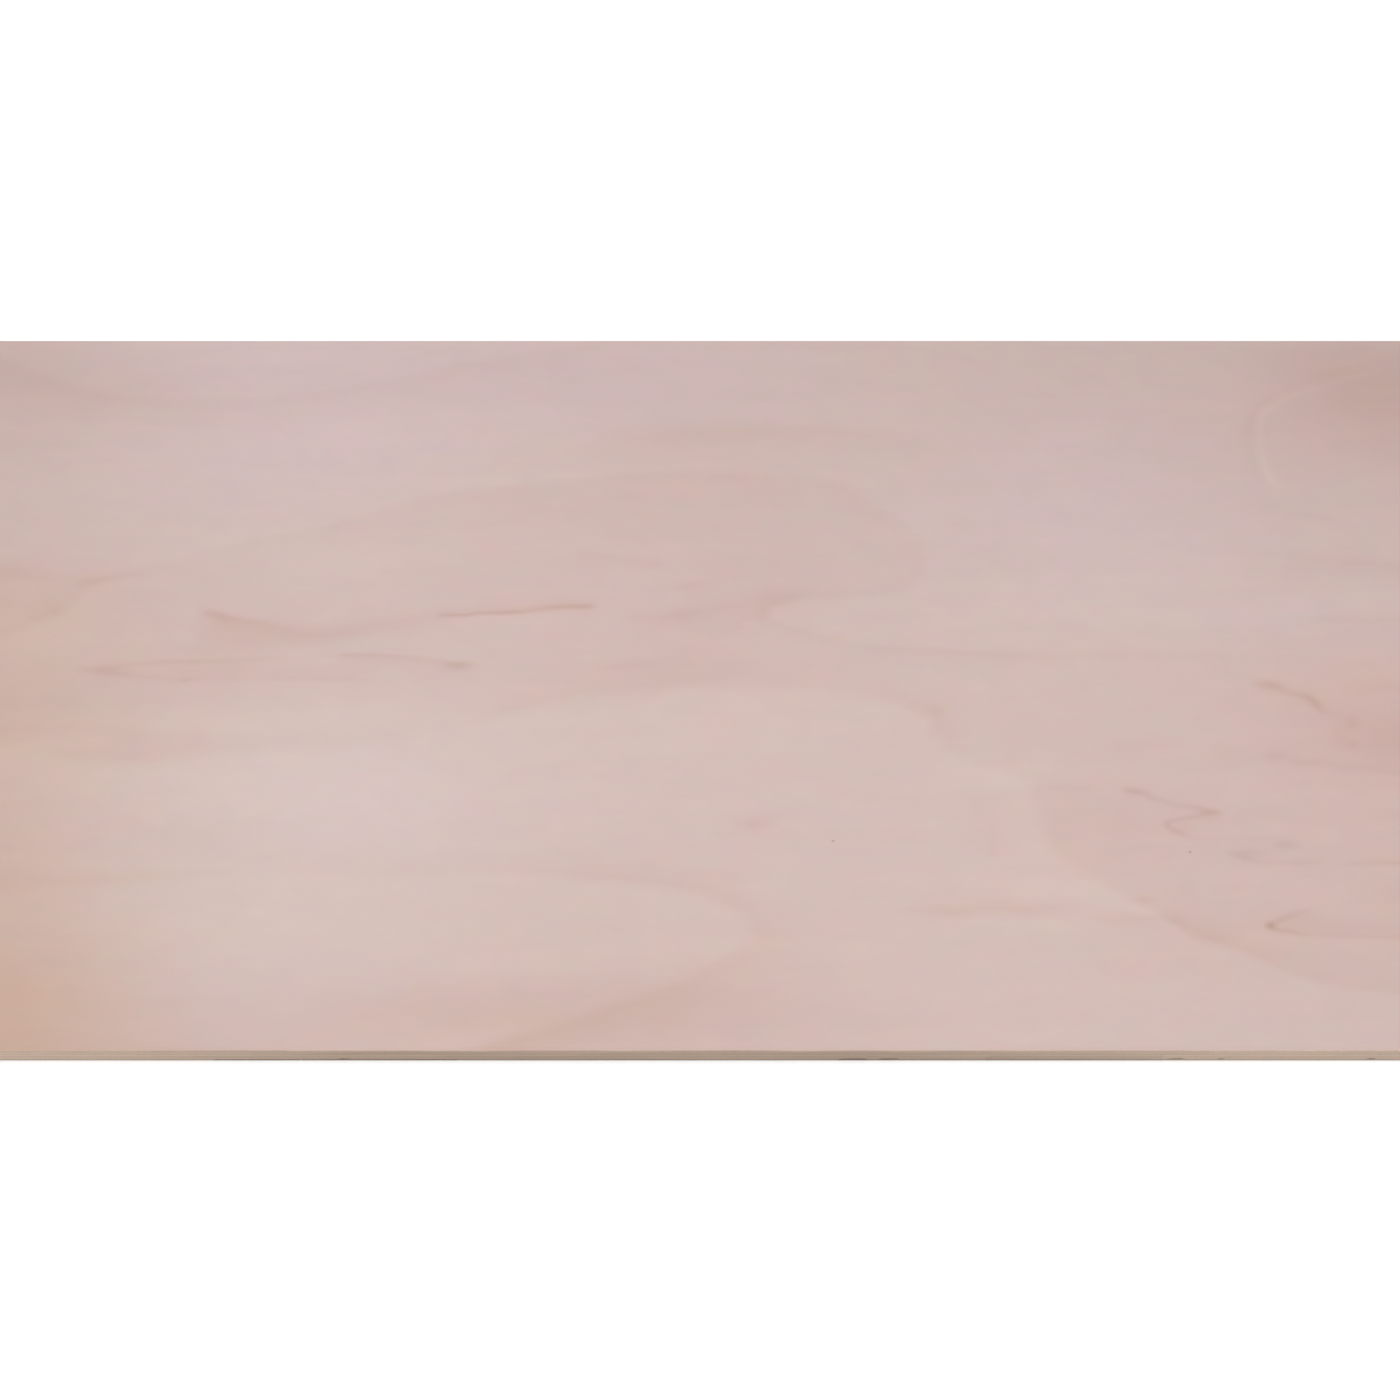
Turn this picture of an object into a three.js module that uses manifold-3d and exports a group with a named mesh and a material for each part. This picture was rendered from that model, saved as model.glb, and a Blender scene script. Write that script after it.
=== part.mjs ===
// A full sheet of sanded plywood, lying flat: five rotary-peeled veneers glued face to face, with the grain
// turned a quarter turn at every glue line. Millimetres, +Z up. The origin is the middle of the underside,
// +X runs along the grain of the faces, and the front edge is the long one at -Y.

import * as THREE from 'three';
import { mergeVertices } from 'three/addons/utils/BufferGeometryUtils.js';
import Module from 'manifold-3d';

const wasm = await Module();
wasm.setup();

// Driving dimensions. The lay-up is balanced: the outer veneers are as thick as each other, and so are the
// crossbands, or the sheet would cup.
const SHEET_LENGTH = 2440;
const SHEET_WIDTH = 1220;
const OUTER_VENEER_THICKNESS = 2.5;
const CROSSBAND_THICKNESS = 4.5;
const CORE_THICKNESS = 4;

// The long and short arrises of both outer veneers are rounded by sanding.
const ARRIS_RADIUS = 0.75;
const ARRIS_FACETS = 3;

// Small voids in the front edge, where wood is missing from the crossband over the lower glue line. Each is
// a lens that rises from the glue line and runs a little way in; its place is a share of the sheet's length.
const VOID_HEIGHT = 1.6;
const VOID_DEPTH = 5;
const VOID_SIDES = 20;
const VOIDS = [
  { share: 0.334, length: 14 },
  { share: 0.572, length: 34 },
  { share: 0.588, length: 26 },
  { share: 0.722, length: 22 },
  { share: 0.743, length: 7 },
  { share: 0.813, length: 12 },
];

const FACE_COLOUR = 0xd1bab4;
const BACK_COLOUR = 0xc4ac9f;
const SIDE_GRAIN_COLOUR = 0xc0a893;
const END_GRAIN_COLOUR = 0xaa9480;
const SANDED_ROUGHNESS = 0.62;
const SAWN_ROUGHNESS = 0.85;

// Corners of the sheet's outline, pulled in from the sawn edges by an inset, anticlockwise from above.
function outline(inset) {
  const x = SHEET_LENGTH / 2 - inset;
  const y = SHEET_WIDTH / 2 - inset;
  return [[-x, -y], [x, -y], [x, y], [-x, y]];
}

// A closed slab lofted through rings of that outline, each { z, inset }, listed from the lowest up.
function slab(rings) {
  const loops = rings.map(({ z, inset }) => outline(inset).map(([x, y]) => [x, y, z]));
  const corners = loops[0].length;
  const triangles = [0, 2, 1, 0, 3, 2];
  for (let ring = 0; ring < rings.length - 1; ring += 1) {
    for (let corner = 0; corner < corners; corner += 1) {
      const a = ring * corners + corner;
      const b = ring * corners + ((corner + 1) % corners);
      triangles.push(a, b, b + corners, a, b + corners, a + corners);
    }
  }
  const top = (rings.length - 1) * corners;
  triangles.push(top, top + 1, top + 2, top, top + 2, top + 3);

  const geometry = new THREE.BufferGeometry();
  geometry.setAttribute('position', new THREE.Float32BufferAttribute(loops.flat(2), 3));
  geometry.setIndex(triangles);
  geometry.computeVertexNormals();
  return geometry;
}

// An inner ply: square edges all round.
function innerPly(thickness) {
  return slab([{ z: 0, inset: 0 }, { z: thickness, inset: 0 }]);
}

// The rings of an outer veneer whose outer face is up: square at the glue line, a quarter round at the face.
function easedRings(thickness) {
  const rings = [{ z: 0, inset: 0 }];
  for (let facet = 0; facet <= ARRIS_FACETS; facet += 1) {
    const turn = (facet / ARRIS_FACETS) * (Math.PI / 2);
    rings.push({
      z: thickness - ARRIS_RADIUS * (1 - Math.sin(turn)),
      inset: ARRIS_RADIUS * (1 - Math.cos(turn)),
    });
  }
  return rings;
}

function faceVeneer(thickness) {
  return slab(easedRings(thickness));
}

// The back veneer is the face veneer turned over.
function backVeneer(thickness) {
  return slab(easedRings(thickness).map(({ z, inset }) => ({ z: thickness - z, inset })).reverse());
}

function toSolid(geometry) {
  const bare = geometry.clone();
  bare.deleteAttribute('normal');
  bare.deleteAttribute('uv');
  const merged = mergeVertices(bare);
  return new wasm.Manifold(new wasm.Mesh({
    numProp: 3,
    vertProperties: merged.attributes.position.array,
    triVerts: new Uint32Array(merged.index.array),
  }));
}

function toGeometry(solid) {
  const { vertProperties, triVerts } = solid.getMesh();
  const geometry = new THREE.BufferGeometry();
  geometry.setAttribute('position', new THREE.BufferAttribute(vertProperties, 3));
  geometry.setIndex(new THREE.BufferAttribute(triVerts, 1));
  return geometry;
}

// One void: a lens centred on the front edge at the height of the glue line, of which the crossband loses
// the quarter that lies inside it.
function voidLens({ share, length }) {
  const lens = new THREE.SphereGeometry(1, VOID_SIDES, VOID_SIDES / 2);
  lens.scale(length / 2, VOID_DEPTH, VOID_HEIGHT);
  lens.translate((share - 0.5) * SHEET_LENGTH, -SHEET_WIDTH / 2, 0);
  return toSolid(lens);
}

function voidedPly(thickness) {
  const ply = VOIDS.reduce((solid, place) => solid.subtract(voidLens(place)), toSolid(innerPly(thickness)));
  return toGeometry(ply);
}

// The lay-up, from the underside up.
const PLIES = [
  { name: 'back_veneer', thickness: OUTER_VENEER_THICKNESS, shape: backVeneer,
    colour: BACK_COLOUR, roughness: SANDED_ROUGHNESS },
  { name: 'lower_crossband', thickness: CROSSBAND_THICKNESS, shape: voidedPly,
    colour: END_GRAIN_COLOUR, roughness: SAWN_ROUGHNESS },
  { name: 'core_ply', thickness: CORE_THICKNESS, shape: innerPly,
    colour: SIDE_GRAIN_COLOUR, roughness: SAWN_ROUGHNESS },
  { name: 'upper_crossband', thickness: CROSSBAND_THICKNESS, shape: innerPly,
    colour: END_GRAIN_COLOUR, roughness: SAWN_ROUGHNESS },
  { name: 'face_veneer', thickness: OUTER_VENEER_THICKNESS, shape: faceVeneer,
    colour: FACE_COLOUR, roughness: SANDED_ROUGHNESS },
];

// Each ply lies face to face on the one below. The levels add up the thicknesses as the 32-bit numbers that
// the meshes hold, so that glued faces share one plane exactly.
const sheet = new THREE.Group();
sheet.name = 'plywood_sheet';
let level = 0;
for (const { name, thickness, shape, colour, roughness } of PLIES) {
  const material = new THREE.MeshStandardMaterial({ color: colour, roughness, metalness: 0 });
  const ply = new THREE.Mesh(shape(thickness), material);
  ply.name = name;
  ply.position.z = level;
  sheet.add(ply);
  level += Math.fround(thickness);
}

export default sheet;
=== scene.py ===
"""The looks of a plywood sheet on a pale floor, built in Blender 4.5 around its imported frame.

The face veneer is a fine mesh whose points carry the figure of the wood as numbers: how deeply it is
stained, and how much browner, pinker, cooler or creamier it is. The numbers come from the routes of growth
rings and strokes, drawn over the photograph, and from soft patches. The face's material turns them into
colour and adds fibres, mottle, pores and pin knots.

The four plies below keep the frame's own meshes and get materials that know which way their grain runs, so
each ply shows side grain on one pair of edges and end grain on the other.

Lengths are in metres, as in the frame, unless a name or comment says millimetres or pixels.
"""

import math
from collections import namedtuple

import bpy
import numpy as np
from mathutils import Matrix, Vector


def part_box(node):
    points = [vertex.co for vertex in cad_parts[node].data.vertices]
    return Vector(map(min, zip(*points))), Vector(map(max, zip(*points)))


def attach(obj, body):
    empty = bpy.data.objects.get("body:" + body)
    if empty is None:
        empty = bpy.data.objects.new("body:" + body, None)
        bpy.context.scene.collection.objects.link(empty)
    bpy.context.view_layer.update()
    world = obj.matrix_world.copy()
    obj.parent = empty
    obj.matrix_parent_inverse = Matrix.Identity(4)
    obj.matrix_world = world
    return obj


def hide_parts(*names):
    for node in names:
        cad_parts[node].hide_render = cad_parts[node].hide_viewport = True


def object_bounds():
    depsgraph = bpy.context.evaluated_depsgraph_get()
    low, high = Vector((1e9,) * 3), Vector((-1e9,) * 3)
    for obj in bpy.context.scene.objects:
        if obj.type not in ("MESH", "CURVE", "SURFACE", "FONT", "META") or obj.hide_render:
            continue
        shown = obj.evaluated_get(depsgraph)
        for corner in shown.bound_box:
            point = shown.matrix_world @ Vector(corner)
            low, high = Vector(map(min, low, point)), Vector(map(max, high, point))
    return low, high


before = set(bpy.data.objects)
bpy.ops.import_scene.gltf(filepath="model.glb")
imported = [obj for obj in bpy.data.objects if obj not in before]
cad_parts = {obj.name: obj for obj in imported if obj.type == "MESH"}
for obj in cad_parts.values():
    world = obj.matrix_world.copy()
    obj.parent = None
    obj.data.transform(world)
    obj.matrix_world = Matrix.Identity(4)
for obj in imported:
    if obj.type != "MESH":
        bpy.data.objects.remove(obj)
CAD_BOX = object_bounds()
MM = 0.001

# ---------------------------------------------------------------------------------------------------------
# The sheet, as the frame has it
# ---------------------------------------------------------------------------------------------------------
LOW, HIGH = CAD_BOX
TOP = HIGH[2]
FACE_GLUE_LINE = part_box("face_veneer")[0].z
GLUE_LINES = [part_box(ply)[1].z for ply in ("back_veneer", "lower_crossband", "core_ply", "upper_crossband")]
ARRIS_RADIUS = 0.75 * MM

# ---------------------------------------------------------------------------------------------------------
# The camera, matched to the photograph, whose frame is 1400 pixels a side
# ---------------------------------------------------------------------------------------------------------
PICTURE_SIDE = 1400
SENSOR_WIDTH = 36.0  # in millimetres, as the lens is
LENS = 126.91
CAMERA_DISTANCE = 6.0
CAMERA_ELEVATION = math.radians(45.4)
CAMERA_SIGHT = 100.0  # how far it sees, past the floor's far corners
AIM = Vector((0.0, -0.0509, TOP))


def on_face(px, py):
    """Where on the face, as x and y in metres, the photograph shows a pixel."""
    focal = LENS / SENSOR_WIDTH * PICTURE_SIDE
    across = (px - PICTURE_SIDE / 2) / focal
    up = (PICTURE_SIDE / 2 - py) / focal
    sine, cosine = math.sin(CAMERA_ELEVATION), math.cos(CAMERA_ELEVATION)
    reach = CAMERA_DISTANCE * sine / (sine - up * cosine)
    return reach * across, AIM.y - CAMERA_DISTANCE * cosine + reach * (cosine + up * sine)


# ---------------------------------------------------------------------------------------------------------
# The figure of the face: what is drawn on it
# ---------------------------------------------------------------------------------------------------------
# The figure is made of five fields over the face: stain, which darkens it as late wood does, and warmth,
# blush, cool and cream, which turn it browner, pinker, cooler and creamier.

# A grain line is a growth ring where the knife met it: dark late wood, which fades out over `fade` mm on
# one `side` of the way it runs, and stops within `edge` mm on the other. There the next ring's early wood
# begins, as much paler as `pale` says, or no paler at all, and fades out over `reach` mm. The route is in
# pixels of the photograph, each point with its depth of stain, and may run on past the photograph's sides.
GrainLine = namedtuple("GrainLine", "side fade edge route pale reach", defaults=(0.0, 1))
GRAIN_LINES = {
    "far arch": GrainLine("right", fade=36, edge=7, pale=0.05, reach=16, route=[
        (-150, 300, 0.3), (0, 361, 0.28), (60, 386, 0.26), (110, 396, 0.24), (150, 400, 0.22),
        (230, 402, 0.22), (300, 398, 0.26), (400, 380, 0.28), (455, 367, 0.32), (500, 361, 0.32),
        (560, 350, 0.3), (640, 336, 0.25)]),
    "far band": GrainLine("right", fade=36, edge=15, route=[
        (575, 448, 0.05), (640, 438, 0.28), (700, 434, 0.42), (760, 432, 0.42), (830, 433, 0.34),
        (893, 439, 0.25), (945, 456, 0.15), (980, 505, 0.0)]),
    "middle tongue": GrainLine("right", fade=150, edge=9, pale=0.08, reach=22, route=[
        (80, 580, 0.0), (150, 569, 0.15), (240, 547, 0.22), (330, 528, 0.27), (430, 501, 0.3),
        (500, 490, 0.3), (580, 483, 0.34), (650, 477, 0.36), (740, 476, 0.34), (800, 478, 0.3),
        (845, 488, 0.28), (876, 511, 0.32), (908, 533, 0.2), (921, 552, 0.26), (916, 575, 0.3),
        (890, 591, 0.22), (810, 597, 0.36), (775, 603, 0.38), (762, 612, 0.3)]),
    "left branch": GrainLine("right", fade=14, edge=10, route=[
        (100, 580, 0.1), (70, 597, 0.3), (48, 615, 0.4), (0, 632, 0.25), (-120, 648, 0.2),
        (-300, 660, 0.1)]),
    "head of the dark streak": GrainLine("right", fade=52, edge=6, route=[
        (196, 610, 0.0), (206, 611, 0.25), (218, 614, 0.6), (232, 619, 0.85), (255, 622, 0.8),
        (271, 625, 0.6), (284, 628, 0.3), (300, 629, 0.0)]),
    "shade of the streak's tail": GrainLine("left", fade=13, edge=4, route=[
        (436, 617, 0.0), (450, 616, 0.35), (481, 613, 0.45), (500, 612, 0.6), (517, 612, 0.6),
        (545, 608, 0.6), (560, 607, 0.6), (578, 607, 0.6), (592, 607, 0.4), (602, 607, 0.0)]),
    "right part of the loop": GrainLine("right", fade=16, edge=4, route=[
        (335, 655, 0.0), (350, 654.5, 0.5), (380, 655, 0.55), (408, 657, 0.6), (430, 660, 0.5),
        (456, 663, 0.4), (484, 664, 0.0)]),
    "throat of the tongue": GrainLine("right", fade=18, edge=12, route=[
        (610, 623, 0.0), (660, 617, 0.32), (700, 612, 0.4), (740, 605, 0.36), (780, 598, 0.35),
        (820, 592, 0.0)]),
    "long thread": GrainLine("right", fade=13, edge=5, pale=0.03, reach=40, route=[
        (764, 618, 0.2), (778, 625, 0.3), (800, 631, 0.32), (826, 638, 0.3), (860, 645.5, 0.34),
        (898, 649.5, 0.4), (934, 650.5, 0.44), (970, 653, 0.42), (1000, 654, 0.3), (1035, 656, 0.12),
        (1060, 657, 0.06), (1190, 656, 0.06), (1400, 660, 0.08), (1720, 670, 0.1)]),
    "shade of the long thread": GrainLine("right", fade=40, edge=9, route=[
        (990, 654, 0.0), (1040, 655, 0.14), (1122, 655, 0.17), (1190, 655, 0.13), (1240, 656, 0.0)]),
    "near bank": GrainLine("left", fade=65, edge=17, pale=0.1, reach=110, route=[
        (-380, 690, 0.2), (-150, 713, 0.25), (0, 740, 0.3), (60, 750, 0.33), (150, 755, 0.36),
        (190, 751, 0.32), (300, 742, 0.24), (400, 731, 0.22), (460, 721, 0.22), (510, 708, 0.26),
        (545, 697, 0.3), (620, 685, 0.36), (700, 680, 0.36), (800, 683, 0.2), (870, 689, 0.16),
        (905, 697, 0.0)]),
    "bend of the near bank": GrainLine("left", fade=24, edge=8, pale=0.1, reach=35, route=[
        (860, 690, 0.0), (895, 697, 0.3), (915, 707, 0.4), (932, 717, 0.45), (942, 733, 0.4),
        (951, 746, 0.3), (966, 756, 0.2), (985, 764, 0.16), (1005, 767, 0.14), (1022, 774, 0.14)]),
    "right part of the near bank": GrainLine("left", fade=60, edge=9, pale=0.08, reach=20, route=[
        (985, 764, 0.0), (1005, 767, 0.12), (1022, 774, 0.15), (1037, 785, 0.25), (1045, 799, 0.32),
        (1049, 826, 0.34), (1056, 846, 0.32), (1071, 858, 0.3), (1085, 869, 0.27), (1108, 883, 0.25),
        (1147, 901, 0.26), (1176, 920, 0.32), (1210, 936, 0.34), (1250, 950, 0.32), (1310, 976, 0.3),
        (1400, 990, 0.36), (1560, 1000, 0.3), (1780, 1012, 0.25)]),
    "dark shore of the bank": GrainLine("left", fade=15, edge=9, route=[
        (1150, 911, 0.0), (1168, 917, 0.2), (1180, 925, 0.45), (1190, 933, 0.6), (1201, 937, 0.6),
        (1216, 939, 0.45), (1236, 945, 0.3), (1262, 955, 0.18), (1300, 972, 0.12), (1360, 985, 0.0)]),
    "inner ring": GrainLine("left", fade=14, edge=5, route=[
        (955, 790, 0.0), (970, 796, 0.18), (980, 810, 0.25), (985, 830, 0.25), (992, 852, 0.2),
        (1000, 862, 0.0)]),
    "shore in the far corner": GrainLine("left", fade=20, edge=8, route=[
        (1400, 355, 0.1), (1330, 374, 0.14), (1290, 389, 0.16), (1262, 404, 0.26), (1250, 424, 0.36),
        (1248, 443, 0.3), (1252, 462, 0.22), (1261, 481, 0.08)]),
    "dash in the far corner": GrainLine("right", fade=9, edge=6, route=[
        (1268, 505, 0.1), (1320, 517, 0.3), (1340, 522, 0.1)]),
    "grey band on the right": GrainLine("right", fade=16, edge=10, route=[
        (1280, 558, 0.0), (1310, 560, 0.32), (1347, 561, 0.36), (1400, 568, 0.34), (1500, 582, 0.34),
        (1690, 597, 0.25)]),
    "faint band on the right": GrainLine("right", fade=10, edge=8, route=[
        (1305, 619, 0.0), (1340, 620, 0.35), (1400, 621, 0.35), (1560, 625, 0.35), (1710, 629, 0.2)]),
    "front of the near lens": GrainLine("right", fade=55, edge=13, pale=0.03, reach=60, route=[
        (430, 1072, 0.75), (505, 1046, 0.72), (560, 1031, 0.56), (600, 1017, 0.46), (637, 1005, 0.4),
        (677, 989, 0.38), (713, 971, 0.38), (740, 957, 0.34), (757, 943, 0.3), (763, 930, 0.2)]),
    "back of the near lens": GrainLine("right", fade=20, edge=13, pale=0.06, reach=60, route=[
        (763, 930, 0.25), (756, 916, 0.3), (737, 903, 0.4), (710, 889, 0.42), (660, 881, 0.42),
        (587, 873, 0.4), (527, 868, 0.32), (460, 867, 0.24), (350, 868, 0.2), (250, 869, 0.16),
        (140, 876, 0.34), (60, 881, 0.3), (0, 884, 0.26), (-150, 890, 0.25), (-380, 896, 0.25)]),
}

# A thin line is alike on both sides: where the knife grazed a ring it left a stroke of late or early wood,
# which fades out over `width` mm either way.
ThinLine = namedtuple("ThinLine", "width route field", defaults=("stain",))
THIN_LINES = {
    "strokes on the left": [
        ThinLine(width=12, route=[
            (-350, 546, 0.35), (-150, 558, 0.4), (0, 572, 0.42), (20, 573, 0.4), (50, 576, 0.2),
            (80, 577, 0.1), (110, 573, 0.0)]),
        ThinLine(width=7, route=[
            (72, 584, 0.0), (84, 582, 0.45), (95, 581, 0.6), (110, 578, 0.5), (125, 575, 0.35),
            (141, 574, 0.3), (156, 571, 0.0)]),
        ThinLine(width=7, route=[
            (66, 602, 0.0), (60, 606, 0.25), (50, 613, 0.3), (40, 619, 0.2), (22, 625, 0.0)]),
    ],
    "dark streak": [
        ThinLine(width=7, route=[
            (198, 612, 0.0), (206, 613, 0.55), (216, 615, 0.6), (226, 618, 0.4), (242, 622, 0.0)]),
        ThinLine(width=15, route=[
            (246, 630, 0.0), (275, 631, 0.2), (290, 634, 0.45), (300, 635, 0.5), (322, 634, 0.55),
            (345, 631, 0.5), (370, 627, 0.45), (396, 623, 0.4), (416, 621, 0.35), (440, 617, 0.25),
            (460, 613, 0.0)]),
        ThinLine(width=4, route=[
            (436, 615, 0.0), (445, 615, 0.7), (467, 615, 0.85), (473, 613.5, 0.9), (482, 613, 0.8),
            (500, 613, 0.9), (513, 612, 0.9), (524, 612, 0.5), (545, 610, 0.4), (562, 608, 0.3)]),
        ThinLine(width=5, route=[
            (520, 608, 0.0), (540, 607, 0.3), (560, 606.5, 0.6), (576, 606.5, 0.75), (587, 606.5, 0.8),
            (596, 606, 0.0)]),
        ThinLine(width=12, field="warmth", route=[
            (440, 616, 0.0), (470, 614, 0.1), (520, 611, 0.1), (585, 607, 0.1), (600, 606, 0.0)]),
    ],
    "loop on the left": [
        ThinLine(width=4.5, route=[
            (72, 668, 0.0), (84, 669, 0.3), (95, 669, 0.3), (112, 668, 0.35), (122, 665, 0.3),
            (140, 664, 0.3), (158, 662, 0.5), (180, 662, 0.5), (200, 662, 0.45), (225, 661, 0.3),
            (245, 660, 0.25), (300, 657, 0.12), (335, 656, 0.2), (350, 655.5, 0.3), (380, 656, 0.2),
            (430, 661, 0.1), (456, 665, 0.3), (482, 664, 0.0)]),
        ThinLine(width=4.5, route=[
            (98, 672, 0.0), (116, 674, 0.35), (140, 677, 0.35), (178, 679, 0.3), (200, 679, 0.25),
            (250, 679, 0.25), (335, 679, 0.28), (372, 681, 0.1), (400, 682, 0.0)]),
        ThinLine(width=14, route=[
            (92, 671, 0.0), (112, 671, 0.28), (135, 671, 0.28), (250, 671, 0.24), (335, 671, 0.2),
            (380, 670, 0.0)]),
    ],
    "short threads": [
        ThinLine(width=6, route=[
            (570, 553, 0.0), (582, 554, 0.35), (600, 557, 0.2), (655, 564, 0.25), (664, 569, 0.0)]),
        ThinLine(width=6, route=[
            (668, 590, 0.0), (682, 587, 0.25), (697, 584, 0.4), (710, 581, 0.2), (740, 577, 0.15),
            (766, 577, 0.0)]),
        ThinLine(width=7, route=[
            (585, 669, 0.0), (605, 668, 0.2), (640, 664, 0.25), (668, 662, 0.0)]),
        ThinLine(width=8, route=[
            (655, 621, 0.0), (668, 618, 0.25), (688, 614, 0.3), (702, 611, 0.0)]),
        ThinLine(width=6, route=[
            (802, 597, 0.0), (782, 600, 0.25), (768, 606, 0.3), (761, 613, 0.4), (764, 619, 0.35),
            (778, 626, 0.0)]),
    ],
    "near threads": [
        ThinLine(width=10.5, route=[
            (904, 906, 0.0), (924, 909, 0.15), (940, 911, 0.38), (964, 911, 0.42), (980, 908, 0.36),
            (1008, 908, 0.4), (1024, 909, 0.4), (1048, 909, 0.28), (1075, 906, 0.2), (1098, 904, 0.0)]),
        ThinLine(width=6, route=[
            (1088, 918, 0.0), (1112, 918, 0.3), (1150, 918, 0.3), (1178, 920, 0.3), (1190, 925, 0.0)]),
        ThinLine(width=6, route=[
            (1034, 783, 0.0), (1050, 787, 0.2), (1090, 788, 0.12), (1120, 786, 0.0)]),
    ],
    "far tip on the right": [
        ThinLine(width=8, route=[
            (1249, 685, 0.0), (1259, 684, 0.65), (1268, 685, 0.95), (1277, 686, 0.7), (1287, 691, 0.0)]),
        ThinLine(width=5.5, route=[
            (1274, 686, 0.2), (1290, 693, 0.6), (1300, 695, 0.65), (1310, 698, 0.7), (1317, 705, 0.8),
            (1322, 710, 0.7), (1330, 712, 0.4), (1342, 715, 0.0)]),
        ThinLine(width=6, route=[
            (1297, 694, 0.0), (1309, 698, 0.4), (1316, 704, 0.5), (1321, 709, 0.0)]),
        ThinLine(width=6, route=[
            (1284, 761, 0.0), (1292, 762, 0.3), (1305, 763, 0.5), (1322, 762, 0.35), (1345, 767, 0.2),
            (1400, 773, 0.28), (1520, 786, 0.25), (1740, 796, 0.1)]),
    ],
    "middle tip on the right": [
        ThinLine(width=5.5, route=[
            (1120, 789, 0.0), (1127, 790, 0.85), (1134, 791, 1.1), (1144, 793, 0.85), (1154, 798, 0.6),
            (1166, 802, 0.45), (1178, 805, 0.45), (1192, 807, 0.55), (1203, 810, 0.85), (1213, 812, 0.95),
            (1226, 812, 0.0)]),
        ThinLine(width=4.5, route=[
            (1215, 813, 0.3), (1200, 815, 0.6), (1188, 818, 0.6), (1175, 820, 0.65), (1167, 824, 1.0),
            (1172, 829, 0.9), (1180, 833, 0.85), (1190, 837, 0.35), (1205, 838, 0.2), (1262, 838, 0.25),
            (1312, 838, 0.0)]),
    ],
    "near tips on the right": [
        ThinLine(width=4.5, route=[
            (1225, 853, 0.0), (1233, 853.5, 0.4), (1241, 856.5, 0.4), (1250, 859.5, 0.35),
            (1260, 862.5, 0.35), (1280, 862.5, 0.35), (1296, 863, 0.4), (1310, 863, 0.35),
            (1322, 863, 0.1), (1345, 865, 0.15), (1358, 863, 0.45), (1396, 863, 0.5), (1550, 869, 0.45),
            (1760, 874, 0.2)]),
        ThinLine(width=5, route=[
            (1270, 925, 0.6), (1278, 921, 0.75), (1287, 917, 0.65), (1297, 914, 0.5), (1310, 910, 0.35),
            (1324, 907, 0.1), (1450, 897, 0.05), (1700, 890, 0.0)]),
        ThinLine(width=4.5, route=[
            (1270, 926, 0.6), (1278, 930, 0.95), (1288, 931, 0.85), (1298, 933, 0.7), (1308, 935, 0.5),
            (1320, 935, 0.35), (1400, 937.5, 0.4), (1560, 944, 0.3), (1770, 950, 0.15)]),
        ThinLine(width=13, route=[
            (1278, 925, 0.0), (1300, 924, 0.22), (1400, 930, 0.22), (1500, 934, 0.0)]),
    ],
    "cream lines": [
        ThinLine(width=6, field="cream", route=[
            (1372, 372, 0.1), (1337, 382, 0.12), (1303, 391, 0.12), (1280, 402, 0.15), (1262, 415, 0.2),
            (1259, 434, 0.16), (1262, 457, 0.18), (1269, 476, 0.24), (1277, 488, 0.08)]),
        ThinLine(width=7, field="cream", route=[
            (1115, 898, 0.0), (1147, 913, 0.1), (1185, 932, 0.08), (1215, 945, 0.0)]),
    ],
}

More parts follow.
